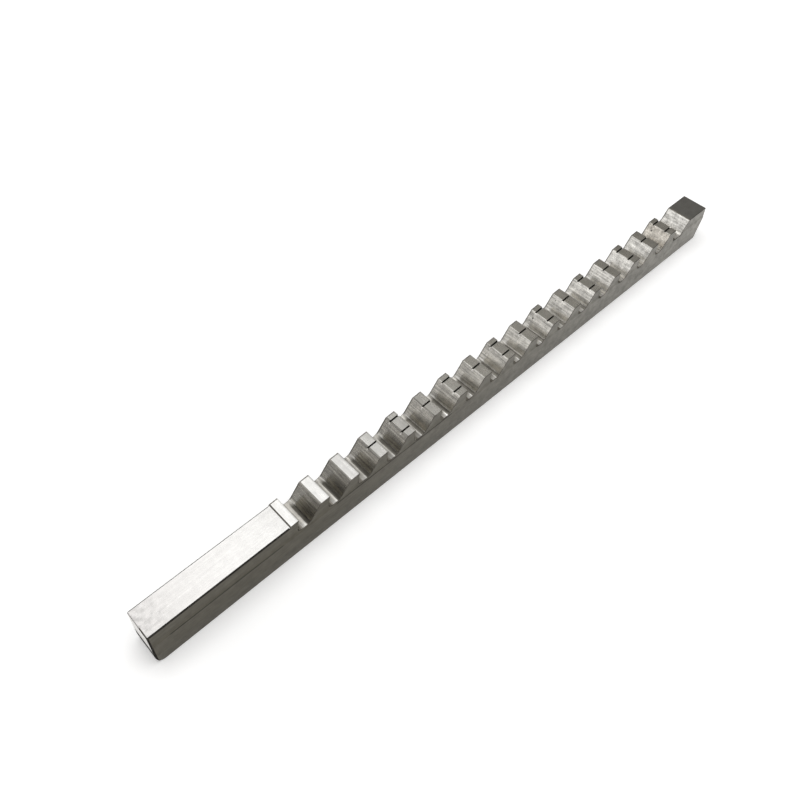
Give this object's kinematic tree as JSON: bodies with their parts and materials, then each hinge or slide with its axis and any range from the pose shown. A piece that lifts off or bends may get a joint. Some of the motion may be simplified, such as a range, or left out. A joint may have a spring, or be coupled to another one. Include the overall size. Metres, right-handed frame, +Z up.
{
  "type": "keyway broach",
  "caption": "Straight steel push-type keyway broach: a plain shank, a row of rising teeth with chip breakers along the top, and a plain pilot, on a body that slides in a guide bushing.",
  "frame": {"origin": "middle of the bottom face, on the plane that the bar rests on", "axes": "+X along the bar from the shank to the pilot, +Y across the bar, +Z up from the bottom face to the teeth"},
  "size_m": [0.3524, 0.0142, 0.0221],
  "materials": {
    "ground_steel": "ground"
  },
  "bodies": {
    "root": {"broach": "ground_steel"}
  },
  "joints": []
}
